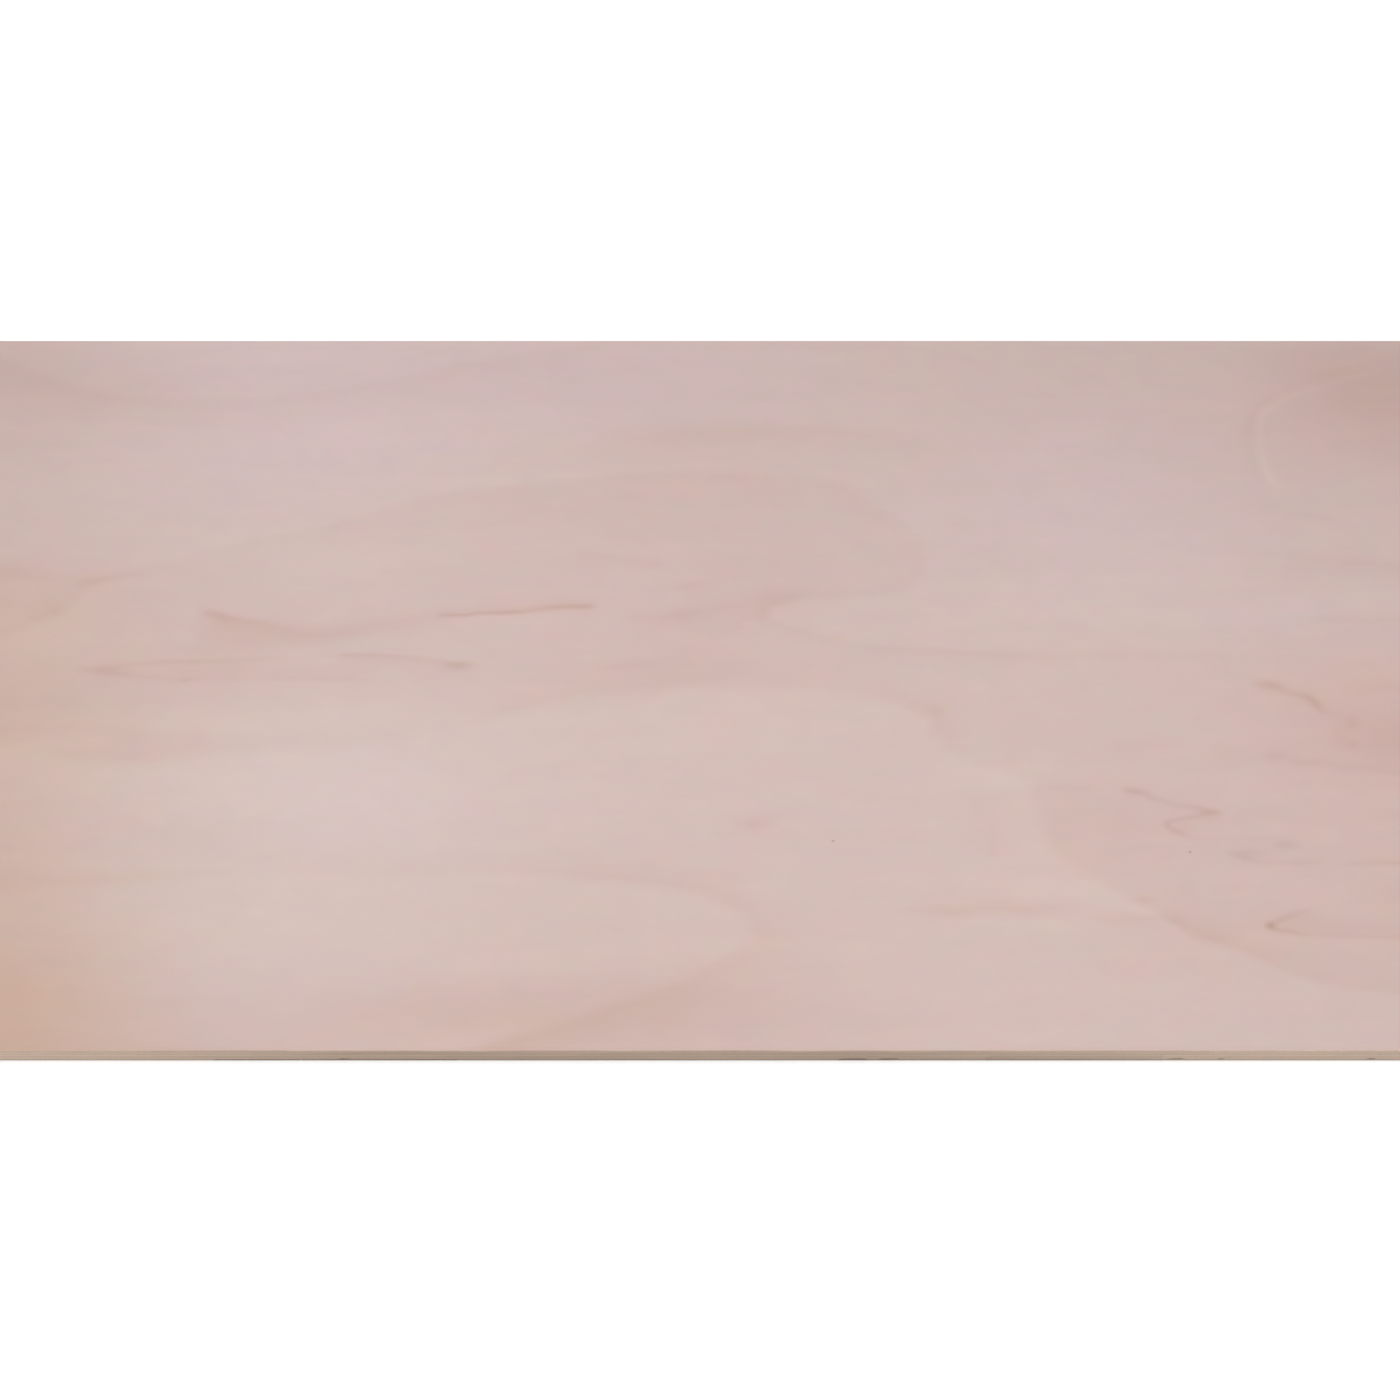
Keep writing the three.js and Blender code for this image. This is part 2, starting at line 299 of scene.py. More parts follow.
# Soft patches, by the field that they add to: the x and y of the middle in pixels, how far it reaches along
# and across the grain in millimetres, and its strength.
PATCHES = {
    "stain": [
        # Smudges and the dark ends of strokes.
        (756, 824, 17, 13, 0.42), (722, 834, 18, 7, 0.2), (794, 834, 12, 7, 0.22), (98, 671, 17, 8, 0.45),
        (120, 671, 20, 9, 0.2), (186, 680, 5, 3.5, 0.5), (459, 666, 15, 8, 0.7), (936, 711, 9, 8, 0.6),
        (1065, 840, 8, 8, 0.2), (1130, 745, 28, 12, 0.2), (1143, 900, 13, 7, 0.5),
        (1186, 890, 10, 12, 0.2), (1185, 828, 14, 9, 0.25), (1209, 818, 16, 9, 0.3),
        (1232, 755, 24, 18, 0.2), (1245, 854, 14, 9, 0.45), (1260, 853, 14, 14, 0.2),
        (1271, 926, 6, 7, 1.1), (1276, 756, 14, 9, 0.55), (1287, 845, 15, 7, 0.75),
        (1308, 922, 14, 12, 0.2), (1306, 783, 7, 5, 0.3), (1335, 925, 14, 8, 0.15),
        (1340, 734, 9, 16, 0.3), (1352, 723, 8, 9, 0.6), (1352, 745, 9, 8, 0.45), (1390, 687, 24, 8, 0.2),
        (1396, 898, 22, 22, 0.25), (1400, 732, 75, 24, 0.42), (910, 910, 10, 6, 0.15),
        # Broad clouds, the darkest of them along the far edge and round its far corners.
        (720, 661, 90, 40, 0.2), (430, 1010, 160, 55, 0.35), (160, 395, 240, 75, 0.25),
        (700, 430, 170, 90, 0.14), (1300, 362, 90, 40, 0.25), (690, 560, 220, 80, 0.12),
        (700, 1025, 200, 80, 0.3), (650, 995, 180, 40, 0.3), (0, 345, 140, 90, 0.45),
        (-160, 345, 150, 90, 0.25), (60, 385, 160, 60, 0.35), (560, 375, 330, 60, 0.35),
        (1378, 393, 110, 100, 0.7), (1560, 410, 170, 110, 0.4), (1410, 755, 90, 30, 0.3),
        (1560, 750, 100, 28, 0.3), (1095, 830, 70, 80, 0.2), (640, 960, 200, 150, 0.2),
        (630, 955, 240, 80, 0.17), (650, 450, 120, 60, 0.15), (15, 440, 110, 60, 0.3),
        (110, 1050, 200, 50, 0.22), (690, 1030, 230, 50, 0.2),
    ],
    "warmth": [
        (-60, 810, 220, 420, 0.5), (-300, 810, 200, 420, 0.3), (-40, 1060, 220, 160, 0.7),
        (-280, 1050, 210, 160, 0.45), (30, 980, 130, 80, 0.24), (10, 890, 110, 80, 0.15),
        (1350, 719, 90, 30, 0.15), (1400, 900, 130, 200, 0.1), (45, 738, 160, 30, 0.3),
        (10, 608, 110, 50, 0.3), (270, 632, 90, 30, 0.08), (1290, 697, 60, 25, 0.15),
        (1375, 692, 80, 35, 0.15), (1005, 910, 90, 16, 0.1), (440, 1025, 160, 45, 0.2),
        (1190, 950, 130, 60, 0.12), (20, 730, 130, 190, 0.14), (1400, 730, 110, 80, 0.2),
        (1370, 670, 90, 50, 0.08), (1550, 740, 90, 90, 0.2), (40, 640, 110, 90, 0.08),
        (756, 825, 16, 14, 0.14), (1235, 425, 110, 70, 0.09), (545, 1020, 80, 35, 0.13),
        (280, 985, 120, 45, -0.14), (1400, 400, 120, 130, 0.25), (1430, 780, 150, 210, 0.2),
    ],
    "blush": [
        (125, 742, 80, 25, 0.35), (40, 760, 150, 230, 0.25), (1430, 735, 150, 50, 0.22),
        (1560, 735, 90, 50, 0.3), (1320, 760, 110, 330, 0.14), (30, 600, 80, 70, 0.15),
        (757, 825, 18, 16, 0.35), (996, 836, 20, 42, 0.25), (1150, 430, 260, 90, 0.2),
        (650, 615, 380, 80, 0.2), (997, 545, 50, 60, 0.3), (1330, 420, 150, 120, 0.34),
        (1290, 595, 110, 45, 0.2), (1220, 640, 260, 140, 0.3), (1140, 840, 160, 120, 0.35),
        (1390, 740, 130, 120, 0.4), (1560, 430, 180, 130, 0.3), (1600, 740, 170, 140, 0.3),
    ],
    "cool": [
        (290, 440, 240, 150, 0.72), (650, 605, 360, 80, 0.2), (1150, 430, 260, 90, 0.2),
        # The patch round (345, 800) is a painted sheen: the face paler and cooler where the lamps glint off
        # it.
        (620, 380, 260, 100, 0.75), (345, 800, 190, 130, 0.75), (1080, 520, 220, 140, 0.7),
        (270, 360, 240, 55, 0.6), (300, 965, 130, 40, 0.35), (1320, 618, 140, 45, 0.4),
        (1190, 605, 170, 65, 0.25),
    ],
    "cream": [
        # The first patch, round (340, 800), is a painted highlight on that same spot.
        (340, 800, 200, 150, 0.12), (330, 560, 120, 45, 0.12), (1050, 845, 100, 100, 0.13),
        (40, 630, 80, 50, 0.16), (150, 867, 200, 20, 0.12), (300, 720, 300, 24, 0.14),
        (1005, 770, 90, 25, 0.15), (1000, 925, 90, 22, 0.1), (630, 955, 240, 80, 0.14),
        (230, 920, 200, 70, 0.18), (1130, 620, 220, 130, 0.14), (40, 745, 90, 25, 0.18),
        (170, 770, 260, 110, 0.13), (1100, 895, 110, 30, 0.12), (1350, 593, 100, 22, 0.12),
    ],
}

# Hands have yellowed the face within a few millimetres of the front arris.
HANDLED_WARMTH = 0.2
HANDLED_REACH = 5.5 * MM

# ---------------------------------------------------------------------------------------------------------
# The figure of the face: how it is drawn
# ---------------------------------------------------------------------------------------------------------
RING_STAIN = 0.7  # how much a grain line stains the wood, for its depth
RING_WARMTH = 0.26  # and how much browner it is
PALE_RISE = 4  # early wood is as pale as it gets beside a line with a depth of a quarter or more
HALO_WARMTH = 0.13  # how much browner the wood is round a thin line of late wood
HALO_REACH = 9 * MM
ROUTE_STEPS = 6  # straight steps between two points of a route
FADES_DRAWN = 4  # a grain line is left off where it has faded for this many times its reach
HALOS_DRAWN = 2.5  # and a thin line, for this many times its halo


def smooth(route):
    """A route's points with rounded stretches between them, a Catmull-Rom curve through every one."""
    points = np.array(route, float)
    points = np.vstack([2 * points[0] - points[1], points, 2 * points[-1] - points[-2]])
    t = np.linspace(0, 1, ROUTE_STEPS, endpoint=False)[:, None]
    curve = [
        b + 0.5 * t * (c - a + t * (2 * a - 5 * b + 4 * c - d + t * (3 * (b - c) + d - a)))
        for a, b, c, d in zip(points, points[1:], points[2:], points[3:])
    ]
    return np.vstack([*curve, points[-2:-1]])


def beside(route, x, y, reach):
    """Which points (x, y) may be within reach of a route, how far to its left, and its depth there."""
    px, py, depth = smooth(route).T
    rx, ry = on_face(px, py)
    near = np.flatnonzero((x > rx.min() - reach) & (x < rx.max() + reach)
                          & (y > ry.min() - reach) & (y < ry.max() + reach))
    x, y = x[near], y[near]
    distance = np.full(len(near), np.inf)
    left = np.zeros(len(near))
    found = np.zeros(len(near))
    for i in range(len(rx) - 1):
        dx, dy = rx[i + 1] - rx[i], ry[i + 1] - ry[i]
        along = (((x - rx[i]) * dx + (y - ry[i]) * dy) / (dx * dx + dy * dy)).clip(0, 1)
        ox, oy = x - rx[i] - along * dx, y - ry[i] - along * dy
        off = np.hypot(ox, oy)
        closer = off < distance
        distance[closer] = off[closer]
        left[closer] = (np.sign(dx * oy - dy * ox) * off)[closer]
        found[closer] = (depth[i] + along * (depth[i + 1] - depth[i]))[closer]
    return near, left, found.clip(0)


def draw_grain_line(fields, line, x, y):
    """Adds a grain line's late wood, darker and browner, and the early wood beyond it."""
    fade, edge, reach = line.fade * MM, line.edge * MM, line.reach * MM
    near, left, depth = beside(line.route, x, y, FADES_DRAWN * max(fade, edge, reach))
    off = left if line.side == "left" else -left
    before, after = off.clip(0), -off.clip(None, 0)
    stop = np.exp(-((after / edge) ** 2))
    late = depth * np.exp(-before / fade) * stop
    early = line.pale * np.minimum(depth * PALE_RISE, 1) * (1 - stop) * np.exp(-after / reach)
    fields["stain"][near] += RING_STAIN * late
    fields["warmth"][near] += RING_WARMTH * late
    fields["cream"][near] += early


def draw_thin_line(fields, line, x, y):
    """Adds a thin line and, round one of late wood, a browner halo."""
    width = line.width * MM
    halo = width + HALO_REACH
    near, left, depth = beside(line.route, x, y, HALOS_DRAWN * halo)
    fields[line.field][near] += depth * np.exp(-(left / width) ** 2)
    if line.field == "stain":
        fields["warmth"][near] += HALO_WARMTH * depth * np.exp(-(left / halo) ** 2)


def soft_patch(x, y, px, py, along, across, strength):
    """How much a patch round the pixel (px, py) adds at the points (x, y)."""
    middle_x, middle_y = on_face(px, py)
    off = ((x - middle_x) / (along * MM)) ** 2 + ((y - middle_y) / (across * MM)) ** 2
    return strength * np.exp(-off)


def figure(x, y):
    """The figure's fields at the points (x, y) of the face."""
    fields = {field: np.zeros(len(x)) for field in PATCHES}
    for line in GRAIN_LINES.values():
        draw_grain_line(fields, line, x, y)
    for lines in THIN_LINES.values():
        for line in lines:
            draw_thin_line(fields, line, x, y)
    for field, patches in PATCHES.items():
        for patch in patches:
            fields[field] += soft_patch(x, y, *patch)
    fields["warmth"] += HANDLED_WARMTH * np.exp(-(((y - LOW[1]) / HANDLED_REACH) ** 2))
    return fields


# ---------------------------------------------------------------------------------------------------------
# The face veneer's mesh
# ---------------------------------------------------------------------------------------------------------
# The grid is finer where the figure has thin lines. Each span ends at a place, in metres, and has cells of
# about one size, in millimetres.
SPANS_ALONG = [(-0.78, 18), (-0.10, 8.5), (0.48, 15), (0.84, 5), (HIGH[0], 18)]
SPANS_ACROSS = [(-0.45, 5), (-0.16, 2), (-0.05, 4.4), (0.14, 2), (HIGH[1], 6)]
ARRIS_STEPS = 5
BORDER = 0.4 * MM  # a thin outermost cell keeps the arris's rounded shading off the flat face


def add_object(name, data):
    """A new object in the scene, from a mesh, a light or a camera."""
    added = bpy.data.objects.new(name, data)
    bpy.context.scene.collection.objects.link(added)
    return added


def stations(half, spans):
    """The grid's places from one end of the flat to the other, with a thin border at both."""
    flat = half - ARRIS_RADIUS
    places = [-flat]
    start = BORDER - flat
    for end, cell in spans:
        end = min(end, flat - BORDER)
        places.extend(np.linspace(start, end, round((end - start) / (cell * MM)), endpoint=False))
        start = end
    return np.array([*places, start, flat])


def rim_walk(columns, rows):
    """The numbers of a grid's border points, anticlockwise, for a grid of rows of points."""
    front = [(i, 0) for i in range(columns)]
    right = [(columns - 1, j) for j in range(1, rows)]
    back = [(i, rows - 1) for i in range(columns - 2, -1, -1)]
    left = [(0, j) for j in range(rows - 2, 0, -1)]
    return [j * columns + i for i, j in front + right + back + left]


def rings_below_flat():
    """The rings of points from the flat down to the glued side: how far out and how high each lies."""
    turns = np.linspace(0, math.pi / 2, ARRIS_STEPS + 1)[1:]
    arris = [(math.sin(turn) * ARRIS_RADIUS, TOP - (1 - math.cos(turn)) * ARRIS_RADIUS) for turn in turns]
    return [*arris, (ARRIS_RADIUS, FACE_GLUE_LINE)]


def face_shape():
    """The face veneer's points and faces: a grid, quarter rounds down to sawn edges, and a glued side."""
    xs, ys = stations(HIGH[0], SPANS_ALONG), stations(HIGH[1], SPANS_ACROSS)
    columns, rows = len(xs), len(ys)
    grid_x, grid_y = (a.ravel() for a in np.meshgrid(xs, ys))
    points = [np.column_stack([grid_x, grid_y, np.full(len(grid_x), TOP)])]
    corner = np.arange(rows - 1)[:, None] * columns + np.arange(columns - 1)
    quads = [np.stack([corner, corner + 1, corner + columns + 1, corner + columns], -1).reshape(-1, 4)]

    rim = np.array(rim_walk(columns, rows))
    flat_x, flat_y = grid_x[rim], grid_y[rim]
    out_x = np.where(np.isclose(abs(flat_x), xs[-1]), np.sign(flat_x), 0)
    out_y = np.where(np.isclose(abs(flat_y), ys[-1]), np.sign(flat_y), 0)
    loop = rim
    for out, z in rings_below_flat():
        lower = sum(len(p) for p in points) + np.arange(len(rim))
        points.append(np.column_stack([flat_x + out_x * out, flat_y + out_y * out, np.full(len(rim), z)]))
        quads.append(np.stack([loop, lower, np.roll(lower, -1), np.roll(loop, -1)], -1))
        loop = lower

    points = np.vstack([*points, [[0.0, 0.0, FACE_GLUE_LINE]]])
    middle = len(points) - 1
    glued_side = [(middle, b, a) for a, b in zip(loop, np.roll(loop, -1))]
    return points, np.vstack(quads).tolist() + glued_side


def face_veneer():
    """The face veneer, whose points carry the figure."""
    points, faces = face_shape()
    mesh = bpy.data.meshes.new("face_veneer_figured")
    mesh.from_pydata(points.tolist(), [], faces)
    mesh.shade_smooth()
    for name, values in figure(points[:, 0], points[:, 1]).items():
        mesh.attributes.new(name, "FLOAT", "POINT").data.foreach_set("value", values.astype(np.float32))
    mesh.validate()
    return add_object("face_veneer_figured", mesh)


# ---------------------------------------------------------------------------------------------------------
# Colours, as the photograph shows them, in sRGB levels, and tints that multiply the colour under them
# ---------------------------------------------------------------------------------------------------------
FACE = (211, 187, 181)
FACE_TINTS = {
    "warmth": (208, 175, 156),
    "blush": (210, 178, 173),
    "cool": (213, 190, 190),
    "cream": (226, 212, 198),
}
# The arris's paler colour: partly rubbed wood, partly a painted highlight.
ARRIS_RUB_AND_HIGHLIGHT = (215, 193, 175)
SIDE_GRAIN = (216, 193, 174)
END_GRAIN = (213, 189, 171)
BACK = (200, 176, 162)
# The back veneer's side grain is greyer and darker than the other plies': painted shade at the foot of the
# edges, where the sheet meets the floor.
BACK_SIDE_GRAIN_SHADED = (195, 181, 168)
GLUE = (128, 104, 88)

STAIN_TINT = (0.81, 0.706, 0.674, 1.0)
PORE_TINT = (0.55, 0.45, 0.4, 1.0)
# The tint that darkens the sawn edges towards the middle of the sheet's length.
EDGE_DARKENING_TINT = (0.655, 0.64, 0.625, 1.0)
# The tint of the front edge's darker stretches, which include painted shadow at the back veneer's foot.
DARK_STRETCH_TINT = (0.6, 0.6, 0.62, 1.0)

# ---------------------------------------------------------------------------------------------------------
# Textures and what they do
# ---------------------------------------------------------------------------------------------------------
# A texture is noise around 0.5, whose features measure about `size` millimetres along X, Y and Z. Four
# numbers say what it does: while the noise runs from the first to the second, what it changes runs from the
# third to the fourth. Where there are only two, that runs from 0 to 1.
Texture = namedtuple("Texture", "size detail roughness", defaults=(2.0, 0.5))

# The sanded face.
FACE_FIBRES = Texture((60, 0.9, 0.9), detail=3.0, roughness=0.6)
FACE_FIBRE_LIGHT = (0.25, 0.75, 0.987, 1.013)
FACE_FIBRE_STAIN = (0.3, 0.7, 0.42, 0.58)
FACE_FIBRE_ROUGHNESS = (0.3, 0.7, 0.52, 0.62)
FACE_MOTTLE = Texture((260, 34, 34))
FACE_MOTTLE_LIGHT = (0.25, 0.75, 0.986, 1.014)
FACE_HUES = Texture((46, 32, 32), detail=1.0)
FACE_HUE_SHARE = 0.038
SANDED_PORES = Texture((5, 0.35, 0.35), detail=1.0)
FACE_PORE_SHARE = (0.66, 0.78)
FACE_PORE_TINT = 0.12
PORE_RELIEF = 0.8

# The sanded back. Its growth rings lie where a slow wave crosses whole numbers.
BACK_FIBRES = Texture((90, 1.1, 1.1), detail=3.0, roughness=0.6)
BACK_FIBRE_LIGHT = (0.25, 0.75, 0.96, 1.03)
BACK_FIBRE_ROUGHNESS = (0.3, 0.7, 0.56, 0.68)
BACK_MOTTLE = Texture((400, 60, 60))
BACK_MOTTLE_LIGHT = (0.25, 0.75, 0.95, 1.04)
BACK_WAVE = Texture((1500, 240, 240), detail=1.0)
BACK_WAVE_RINGS = 9.0
BACK_RING_SHARPNESS = 5.0
BACK_RING_STAIN = 0.45
BACK_PORE_SHARE = (0.62, 0.76)
BACK_PORE_TINT = 0.25

# Sawn edges: side grain.
EDGE_FIBRES = Texture((60, 60, 0.25), detail=3.0, roughness=0.6)
EDGE_FIBRE_LIGHT = (0.25, 0.75, 0.92, 1.06)
EDGE_FIBRE_RELIEF = 0.5
EDGE_RINGS = Texture((120, 120, 0.9), detail=1.0)
SIDE_RING_LIGHT = (0.3, 0.7, 0.96, 1.03)

END_RING_LIGHT = (0.3, 0.7, 0.92, 1.05)
END_PORES = Texture((0.4, 0.4, 0.4), detail=1.0)
END_PORE_SHARE = (0.55, 0.8)
END_PORE_LIGHT = (0.0, 1.0, 1.02, 0.84)
LATHE_CHECKS = Texture((0.45, 0.45, 7), detail=1.0)
CHECK_SLANT = (38, 38, 0)
CHECK_SHARE = (0.62, 0.75)
CHECK_LIGHT = (0.0, 1.0, 1.0, 0.72)

# Sawn edges: the marks of the saw, and the film of glue, by the distance from its level.
SAW_MARKS = Texture((1.3, 1.3, 40), roughness=0.7)
SAW_LIGHT = (0.25, 0.75, 0.97, 1.03)
SAW_ROUGHNESS = (0.25, 0.75, 0.8, 0.9)
GLUE_FILM = (0.05 * MM, 0.2 * MM, 0.75, 0.0)

# The sawn edges are darker, by X in metres: not at the left end, fully in the middle and little at the right
# end, and more in some blotches than in others.
DARKENING_RISE = (-0.85, -0.25)
DARKENING_FALL = (0.15, 0.72, 1.0, 0.27)
DARKENING_BLOTCHES = Texture((110, 110, 6))
DARKENING_BLOTCH_DEPTH = (0.3, 0.7, 0.86, 1.12)

# Darker stretches of the front edge, ply by ply: from and to in pixels of the photograph, and how dark.
DARK_STRETCHES = {
    "face_veneer": [(150, 290, 0.22), (705, 795, 0.28), (900, 1180, 0.24)],
    "core_ply": [(600, 700, 0.1), (990, 1165, 0.18)],
    "lower_crossband": [(985, 1165, 0.25)],
    # Along the back veneer, at the foot of the front edge, the stretches are painted shadow where the sheet
    # meets the floor.
    "back_veneer": [
        (212, 300, 0.9), (300, 455, 0.72), (332, 346, 0.85), (416, 457, 0.9), (455, 700, 0.2),
        (838, 868, 0.85), (878, 892, 0.65), (868, 985, 0.25), (985, 1165, 0.5), (1065, 1075, 0.8),
        (1139, 1150, 0.65),
    ],
}
FRONT_EDGE_ROW = 1055  # where the photograph shows that edge
STRETCH_END = 2 * MM  # over which a stretch starts or ends
FRONT_SHARE = (-1.0, -0.5, 1.0, 0.0)  # 1 where a surface faces the front, by the Y of its normal

# An outer veneer's arris. How level a surface lies says how much of the sawn edge's look it has, and if it
# is on the round, which is paler in places: rubbed, and a painted highlight where the round catches the
# light.
EDGE_SHARE = (0.2, 0.92, 1.0, 0.0)
RUB_AND_HIGHLIGHT_RISE = (0.2, 0.5)
RUB_AND_HIGHLIGHT_FALL = (0.9, 0.99, 1.0, 0.0)
RUB_AND_HIGHLIGHT_NOISE = Texture((70, 70, 70), detail=3.0)
RUB_AND_HIGHLIGHT_PLACES = (0.42, 0.6, 0.15, 0.9)

# Pin knots, by their middles in pixels of the photograph.
PIN_KNOTS = [(833, 841), (1190, 852)]
PIN_KNOT_RADIUS = 2.6 * MM
PIN_KNOT_SHADE = (0.3 * PIN_KNOT_RADIUS, PIN_KNOT_RADIUS, 0.6, 0.0)

# The height of the relief on a sanded face and on a sawn edge, in millimetres, and the gloss of both.
FACE_RELIEF = 0.04
EDGE_RELIEF = 0.08
SPECULAR_LEVEL = 0.35

# ---------------------------------------------------------------------------------------------------------
# Nodes
# ---------------------------------------------------------------------------------------------------------
MIX_FACTOR, MIX_A, MIX_B, MIX_RESULT = 0, 6, 7, 2  # the sockets of a Mix node that mixes colours


class Nodes:
    """The nodes of a material or world. Most methods add one or a few and return what comes out."""

    def __init__(self, owner):
        """Starts with no nodes at all."""
        owner.use_nodes = True
        self.tree = owner.node_tree
        self.tree.nodes.clear()

    def node(self, kind, output, inputs=(), **settings):
        """Any node. An input is a value or another node's output."""
        node = self.tree.nodes.new(kind)
        for name, value in settings.items():
            setattr(node, name, value)
        for key, value in dict(inputs).items():
            if isinstance(value, bpy.types.NodeSocket):
                self.tree.links.new(value, node.inputs[key])
            else:
                node.inputs[key].default_value = value
        return node.outputs[output]

    def end(self, kind, surface):
        """The last node, which has no output."""
        last = self.tree.nodes.new(kind)
        self.tree.links.new(surface, last.inputs["Surface"])

    def math(self, operation, a, b=0.0, clamp=False):
        """A Math node on one or two numbers."""
        return self.node("ShaderNodeMath", 0, {0: a, 1: b}, operation=operation, use_clamp=clamp)

    def product(self, *factors):
        """All factors multiplied."""
        result = factors[0]
        for factor in factors[1:]:
            result = self.math("MULTIPLY", result, factor)
        return result

    def vector(self, operation, *inputs, output="Vector"):
        """A Vector Math node."""
        return self.node("ShaderNodeVectorMath", output, enumerate(inputs), operation=operation)

    def axis(self, vector, name):
        """One number of a vector: X, Y or Z."""
        return self.node("ShaderNodeSeparateXYZ", name, {0: vector})

    def remap(self, value, low, high, to_low=0.0, to_high=1.0, **settings):
        """A number that runs from to_low to to_high while the value runs from low to high."""
        ends = {"From Min": low, "From Max": high, "To Min": to_low, "To Max": to_high}
        return self.node("ShaderNodeMapRange", 0, {"Value": value, **ends}, **settings)

    def ramp(self, value, low, high, to_low=0.0, to_high=1.0):
        """As remap, with a soft start and end."""
        return self.remap(value, low, high, to_low, to_high, interpolation_type="SMOOTHSTEP")

    def seen_directly(self):
        """1 for rays from the camera and for those that a shiny or clear surface sends on, else 0."""
        seen = self.node("ShaderNodeLightPath", "Is Camera Ray")
        for kind in ("Is Glossy Ray", "Is Transmission Ray"):
            seen = self.math("MAXIMUM", seen, self.node("ShaderNodeLightPath", kind))
        return seen


class Wood(Nodes):
    """The nodes of a ply's material."""

    def __init__(self, ply):
        """Starts with where a point of the ply is, and which way it faces."""
        self.material = bpy.data.materials.new(ply + "_wood")
        super().__init__(self.material)
        self.place = self.node("ShaderNodeTexCoord", "Object")
        self.facing = self.node("ShaderNodeTexCoord", "Normal")

    def noise(self, texture, place=None, output="Fac"):
        """A texture's noise."""
        stretch = [1 / (length * MM) for length in texture.size]
        return self.node("ShaderNodeTexNoise", output, {
            "Vector": self.vector("MULTIPLY", place or self.place, stretch),
            "Scale": 1.0, "Detail": texture.detail, "Roughness": texture.roughness})

    def turned(self, *degrees):
        """Places turned round X, Y and Z, for a texture that lies at a slant."""
        angles = [math.radians(angle) for angle in degrees]
        return self.node("ShaderNodeMapping", 0, {"Vector": self.place, "Rotation": angles})

    def mix(self, factor, a, b, blend="MIX"):
        """Colour a with a share of colour b mixed into it."""
        return self.node("ShaderNodeMix", MIX_RESULT, {MIX_FACTOR: factor, MIX_A: a, MIX_B: b},
                         data_type="RGBA", blend_type=blend)

    def tint(self, factor, colour, tint):
        """A colour that a share of a tint multiplies."""
        return self.mix(factor, colour, tint, "MULTIPLY")

    def shade(self, colour, *lights):
        """A colour made lighter or darker by factors around 1."""
        colour = colour if isinstance(colour, bpy.types.NodeSocket) else colour[:3]
        factor = self.product(*lights)
        return self.node("ShaderNodeVectorMath", 0, {0: colour, "Scale": factor}, operation="SCALE")

    def wander(self, colour, hues, share):
        """A colour whose red, green and blue each wander by up to about a share of themselves."""
        hues = self.noise(hues, output="Color")
        factors = self.vector("MULTIPLY_ADD", hues, [2 * share] * 3, [1 - share] * 3)
        return self.vector("MULTIPLY", colour, factors)

    def finish(self, colour, roughness, height, relief):
        """The finished material, with a bump whose height of 1 stands for `relief` millimetres."""
        normal = self.node("ShaderNodeBump", 0, {"Height": height, "Distance": relief * MM})
        surface = self.node("ShaderNodeBsdfPrincipled", 0, {
            "Base Color": colour, "Roughness": roughness, "Normal": normal,
            "Specular IOR Level": SPECULAR_LEVEL})
        self.end("ShaderNodeOutputMaterial", surface)
        return self.material


# ---------------------------------------------------------------------------------------------------------
# The plies' materials
# ---------------------------------------------------------------------------------------------------------
def linear(levels):
    """A colour given in sRGB levels, as Blender's linear one."""
    shares = [level / 255 for level in levels]
    return (*[s / 12.92 if s <= 0.04045 else ((s + 0.055) / 1.055) ** 2.4 for s in shares], 1.0)


def face_surface(wood):
    """Colour, roughness and height of the sanded face: the drawn figure, then fibres, mottle and pores."""
    fibres = wood.noise(FACE_FIBRES)
    mottle = wood.noise(FACE_MOTTLE)
    pores = wood.remap(wood.noise(SANDED_PORES), *FACE_PORE_SHARE)
    drawn = {field: wood.node("ShaderNodeAttribute", "Fac", attribute_name=field) for field in PATCHES}

    colour = linear(FACE)
    for field, levels in FACE_TINTS.items():
        colour = wood.mix(drawn[field], colour, linear(levels))
    stain = wood.product(drawn["stain"], wood.remap(fibres, *FACE_FIBRE_STAIN))
    colour = wood.tint(stain, colour, STAIN_TINT)
    lights = wood.remap(fibres, *FACE_FIBRE_LIGHT), wood.remap(mottle, *FACE_MOTTLE_LIGHT)
    colour = wood.wander(wood.shade(colour, *lights), FACE_HUES, FACE_HUE_SHARE)
    colour = wood.tint(wood.product(pores, FACE_PORE_TINT), colour, PORE_TINT)
    for pixel in PIN_KNOTS:
        off = wood.vector("DISTANCE", wood.place, (*on_face(*pixel), TOP), output="Value")
        colour = wood.tint(wood.ramp(off, *PIN_KNOT_SHADE), colour, PORE_TINT)

    height = wood.math("SUBTRACT", fibres, wood.product(pores, PORE_RELIEF))
    return colour, wood.remap(fibres, *FACE_FIBRE_ROUGHNESS), height


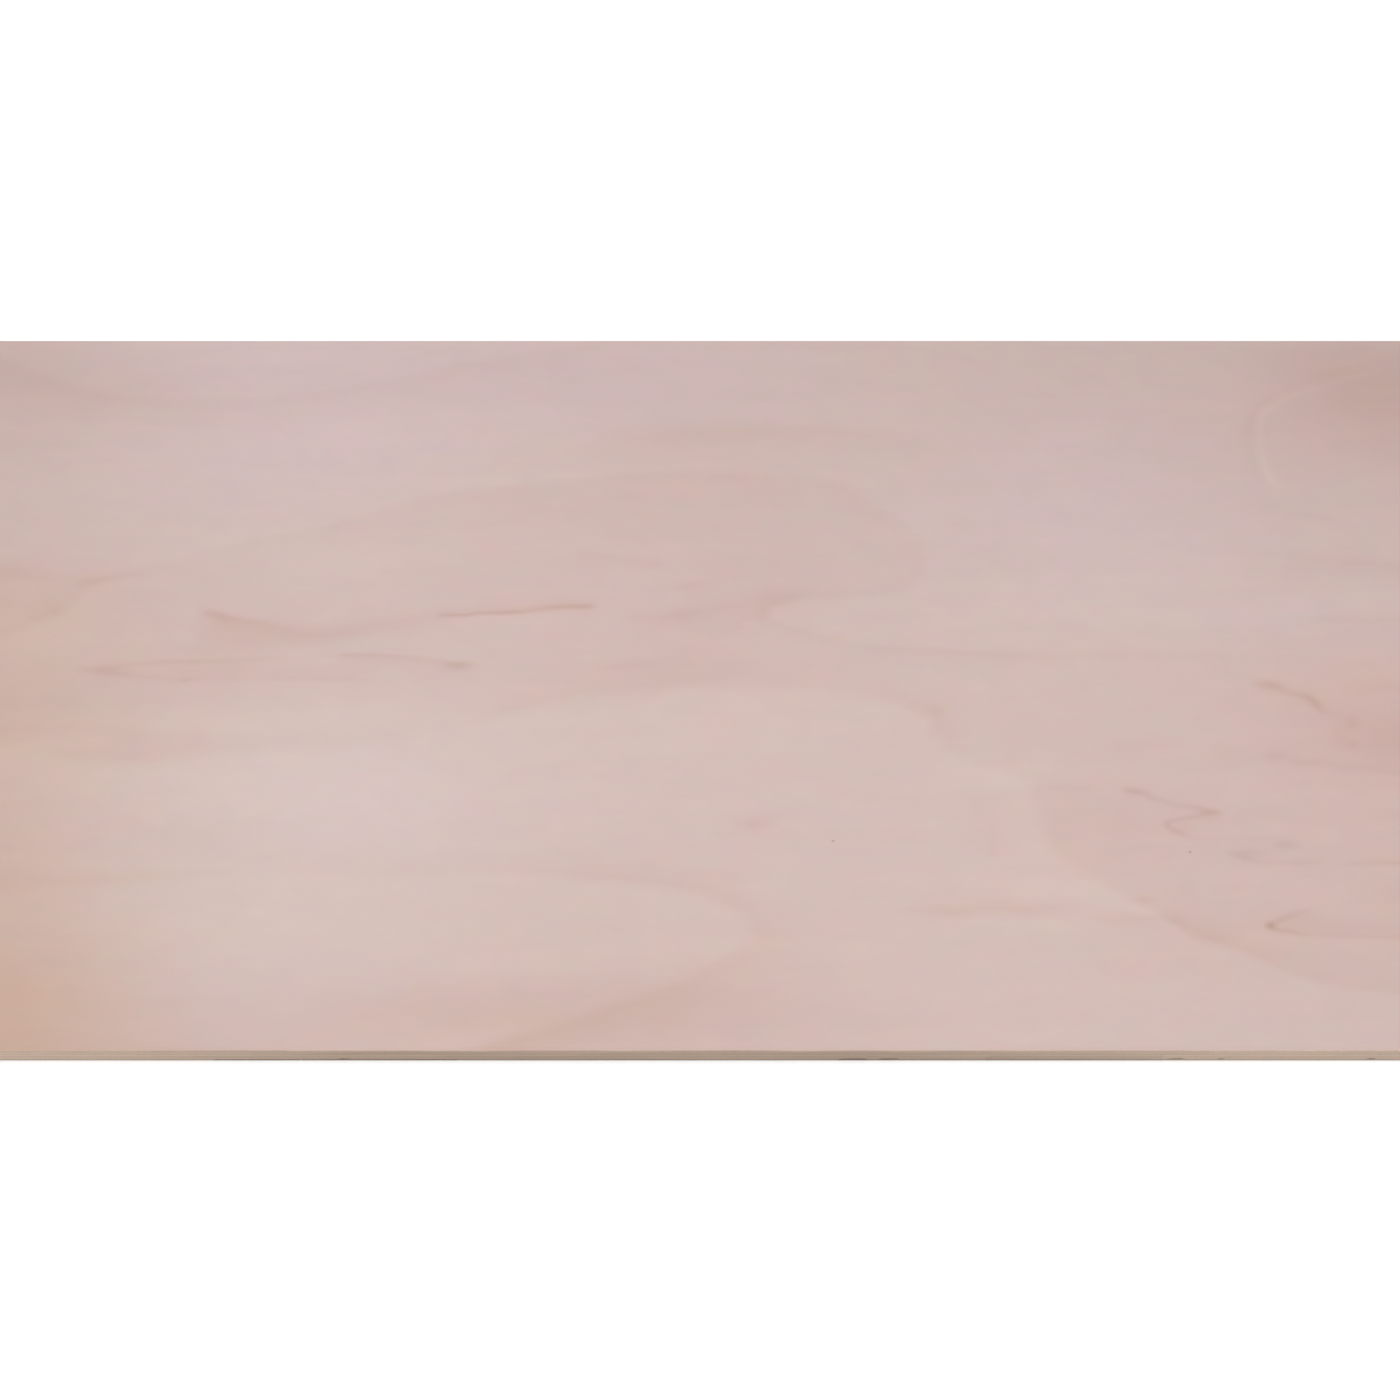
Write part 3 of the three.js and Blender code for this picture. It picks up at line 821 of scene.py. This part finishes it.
def back_surface(wood):
    """Colour, roughness and height of the sanded back: growth rings, then fibres, mottle and pores."""
    fibres = wood.noise(BACK_FIBRES)
    mottle = wood.noise(BACK_MOTTLE)
    pores = wood.remap(wood.noise(SANDED_PORES), *BACK_PORE_SHARE)
    ring = wood.math("FRACT", wood.product(wood.noise(BACK_WAVE), BACK_WAVE_RINGS))
    late = wood.math("POWER", ring, BACK_RING_SHARPNESS)

    colour = wood.tint(wood.product(late, BACK_RING_STAIN), linear(BACK), STAIN_TINT)
    lights = wood.remap(fibres, *BACK_FIBRE_LIGHT), wood.remap(mottle, *BACK_MOTTLE_LIGHT)
    colour = wood.shade(colour, *lights)
    colour = wood.tint(wood.product(pores, BACK_PORE_TINT), colour, PORE_TINT)

    height = wood.math("SUBTRACT", fibres, wood.product(pores, PORE_RELIEF))
    return colour, wood.remap(fibres, *BACK_FIBRE_ROUGHNESS), height


def dark_stretches(wood, ply):
    """How dark a ply's darker stretches are, along the front edge and nowhere else."""
    x = wood.axis(wood.place, "X")
    dark = 0.0
    for start, end, depth in DARK_STRETCHES.get(ply, ()):
        low, high = (on_face(px, FRONT_EDGE_ROW)[0] for px in (start, end))
        rise = wood.ramp(x, low, low + STRETCH_END)
        fall = wood.ramp(x, high - STRETCH_END, high, 1.0, 0.0)
        dark = wood.math("MAXIMUM", wood.product(rise, fall, depth), dark)
    return wood.product(wood.remap(wood.axis(wood.facing, "Y"), *FRONT_SHARE), dark)


def edge_darkening(wood):
    """How much darker the sawn edges are, by X and in blotches."""
    x = wood.axis(wood.place, "X")
    darkening = wood.product(wood.ramp(x, *DARKENING_RISE), wood.ramp(x, *DARKENING_FALL))
    blotches = wood.remap(wood.noise(DARKENING_BLOTCHES), *DARKENING_BLOTCH_DEPTH)
    return wood.math("MULTIPLY", darkening, blotches, clamp=True)


def sawn_edge(wood, ply, grain_axis, side_grain, glue_levels):
    """Colour, roughness and height of a ply's sawn edges: side grain on two, end grain on the others."""
    fibres = wood.noise(EDGE_FIBRES)
    rings = wood.noise(EDGE_RINGS)
    pores = wood.remap(wood.noise(END_PORES), *END_PORE_SHARE)
    checks = wood.remap(wood.noise(LATHE_CHECKS, place=wood.turned(*CHECK_SLANT)), *CHECK_SHARE)
    saw = wood.noise(SAW_MARKS)

    side_lights = wood.remap(fibres, *EDGE_FIBRE_LIGHT), wood.remap(rings, *SIDE_RING_LIGHT)
    side = wood.shade(linear(side_grain), *side_lights)
    end_lights = (wood.remap(rings, *END_RING_LIGHT), wood.remap(pores, *END_PORE_LIGHT),
                  wood.remap(checks, *CHECK_LIGHT))
    end = wood.shade(linear(END_GRAIN), *end_lights)
    end_share = wood.math("ABSOLUTE", wood.axis(wood.facing, grain_axis))
    colour = wood.mix(end_share, side, end)

    for level in glue_levels:
        off = wood.math("ABSOLUTE", wood.math("SUBTRACT", wood.axis(wood.place, "Z"), level))
        colour = wood.mix(wood.remap(off, *GLUE_FILM), colour, linear(GLUE))
    # The sawn edges darken towards the middle of the sheet's length.
    colour = wood.tint(edge_darkening(wood), colour, EDGE_DARKENING_TINT)
    # Darker stretches of the front edge; those of the back veneer are painted shadow.
    colour = wood.tint(dark_stretches(wood, ply), colour, DARK_STRETCH_TINT)
    colour = wood.shade(colour, wood.remap(saw, *SAW_LIGHT))

    rough = wood.math("ADD", saw, wood.product(fibres, EDGE_FIBRE_RELIEF))
    height = wood.math("SUBTRACT", rough, wood.product(checks, end_share))
    return colour, wood.remap(saw, *SAW_ROUGHNESS), height


def inner_material(ply, grain_axis, low, high):
    """An inner ply between two films of glue: only its sawn edges show."""
    wood = Wood(ply)
    colour, roughness, height = sawn_edge(wood, ply, grain_axis, SIDE_GRAIN, (low, high))
    return wood.finish(colour, roughness, height, EDGE_RELIEF)


def outer_material(ply, surface, side_grain, glue_level):
    """An outer veneer: its sanded side, its sawn edges and the arris between them, paler in places, rubbed
    and with a painted highlight.
    """
    wood = Wood(ply)
    colour, roughness, height = surface(wood)
    edge_colour, edge_roughness, edge_height = sawn_edge(wood, ply, "X", side_grain, (glue_level,))
    levelness = wood.math("ABSOLUTE", wood.axis(wood.facing, "Z"))
    edge = wood.remap(levelness, *EDGE_SHARE)
    rub_and_highlight = wood.product(wood.remap(levelness, *RUB_AND_HIGHLIGHT_RISE), wood.remap(levelness, *RUB_AND_HIGHLIGHT_FALL),
                       wood.remap(wood.noise(RUB_AND_HIGHLIGHT_NOISE), *RUB_AND_HIGHLIGHT_PLACES))

    colour = wood.mix(edge, colour, edge_colour)
    # Paler in places on the round: rubbed, and a painted highlight where it catches the light.
    colour = wood.mix(rub_and_highlight, colour, linear(ARRIS_RUB_AND_HIGHLIGHT))
    sanded = wood.math("SUBTRACT", 1.0, edge)
    roughness = wood.math("ADD", wood.product(roughness, sanded), wood.product(edge_roughness, edge))
    height = wood.math("ADD", wood.product(height, FACE_RELIEF, sanded),
                       wood.product(edge_height, EDGE_RELIEF, edge))
    return wood.finish(colour, roughness, height, relief=1.0)


def dress_plies():
    """Materials for the four plies that keep the frame's own meshes."""
    low, middle, high, top = GLUE_LINES
    coats = {
        "back_veneer": outer_material("back_veneer", back_surface, BACK_SIDE_GRAIN_SHADED, low),
        "lower_crossband": inner_material("lower_crossband", "Y", low, middle),
        "core_ply": inner_material("core_ply", "X", middle, high),
        "upper_crossband": inner_material("upper_crossband", "Y", high, top),
    }
    for ply, material in coats.items():
        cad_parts[ply].material_slots[0].material = material


# ---------------------------------------------------------------------------------------------------------
# Studio: floor, world, lamps and camera
# ---------------------------------------------------------------------------------------------------------
FLOOR_SIDE = 30.0
FLOOR_WHITE = 0.8  # the floor's colour for rays that light things
FLOOR_SEEN = 0.7  # and for rays from the camera, which get the rest of its white as a glow
FLOOR_GLOW_NEAR = 0.36  # under the sheet's middle
FLOOR_GLOW_FAR = 0.76  # from this far away, where the lamps no longer reach
FLOOR_GLOW_REACH = 3.0

SKY_LIGHT = 0.40
SKY_SEEN = 1.0
WHITE = (1.0, 1.0, 1.0, 1.0)

# Square lamps: where each is and what it points at, its side in metres and its power in watts.
Lamp = namedtuple("Lamp", "place aim side power")
LAMPS = {
    "window": Lamp((-0.8, 1.5, 1.8), (-0.55, -0.3, 0.0), side=0.6, power=12.9),
    "overhead": Lamp((-0.45, -0.5, 1.6), (-0.45, -0.4, 0.0), side=1.0, power=5.8),
    "right": Lamp((1.3, -0.3, 2.0), (0.9, -0.1, 0.0), side=1.2, power=14.8),
    "front": Lamp((0.0, -2.6, 0.8), (0.0, -0.6, 0.0), side=1.2, power=17.2),
}


def floor_material():
    """White, of which a glow that grows outwards makes up part where it is seen directly.

    So it stays white where the lamps don't reach, keeps the sheet's shadow and lights the sheet plainly.
    """
    material = bpy.data.materials.new("floor_white")
    nodes = Nodes(material)
    seen = nodes.seen_directly()
    away = nodes.vector("LENGTH", nodes.node("ShaderNodeNewGeometry", "Position"), output="Value")
    glow = nodes.remap(away, 0.0, FLOOR_GLOW_REACH, FLOOR_GLOW_NEAR, FLOOR_GLOW_FAR)
    glow = nodes.remap(seen, 0.0, 1.0, 0.0, glow)
    white = nodes.remap(seen, 0.0, 1.0, FLOOR_WHITE, FLOOR_SEEN)
    lit = nodes.node("ShaderNodeBsdfDiffuse", 0, {"Color": white})
    glowing = nodes.node("ShaderNodeEmission", 0, {"Strength": glow})
    nodes.end("ShaderNodeOutputMaterial", nodes.node("ShaderNodeAddShader", 0, {0: lit, 1: glowing}))
    return material


def floor():
    """A plain square under the sheet, wide enough to fill every view."""
    side = FLOOR_SIDE / 2
    corners = [(-side, -side, 0), (side, -side, 0), (side, side, 0), (-side, side, 0)]
    mesh = bpy.data.meshes.new("floor")
    mesh.from_pydata(corners, [], [(0, 1, 2, 3)])
    mesh.materials.append(floor_material())
    return add_object("floor", mesh)


def light_world():
    """A white sky that lights the scene softly from all round, and is pure white where it is seen."""
    world = bpy.data.worlds.new("studio")
    nodes = Nodes(world)
    strength = nodes.remap(nodes.seen_directly(), 0.0, 1.0, SKY_LIGHT, SKY_SEEN)
    sky = nodes.node("ShaderNodeBackground", 0, {"Color": WHITE, "Strength": strength})
    nodes.end("ShaderNodeOutputWorld", sky)
    bpy.context.scene.world = world


def softbox(name, lamp):
    """A square area light that points at its aim."""
    data = bpy.data.lights.new(name, "AREA")
    data.shape = "SQUARE"
    data.size = lamp.side
    data.energy = lamp.power
    light = add_object(name, data)
    light.location = lamp.place
    light.rotation_euler = (Vector(lamp.aim) - Vector(lamp.place)).to_track_quat("-Z", "Y").to_euler()


def camera():
    """The photograph's camera, which looks down at the sheet from the front."""
    data = bpy.data.cameras.new("camera")
    data.lens = LENS
    data.sensor_width = SENSOR_WIDTH
    data.clip_end = CAMERA_SIGHT
    seen_from = add_object("camera", data)
    back = Vector((0.0, -math.cos(CAMERA_ELEVATION), math.sin(CAMERA_ELEVATION)))
    seen_from.location = AIM + CAMERA_DISTANCE * back
    seen_from.rotation_euler = (math.pi / 2 - CAMERA_ELEVATION, 0.0, 0.0)
    bpy.context.scene.camera = seen_from


camera()
light_world()
for name, lamp in LAMPS.items():
    softbox(name, lamp)
bpy.context.scene.view_settings.view_transform = "Standard"

floor()
face = face_veneer()
face.data.materials.append(outer_material("face_veneer", face_surface, SIDE_GRAIN, FACE_GLUE_LINE))
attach(face, "root")
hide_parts("face_veneer")
dress_plies()
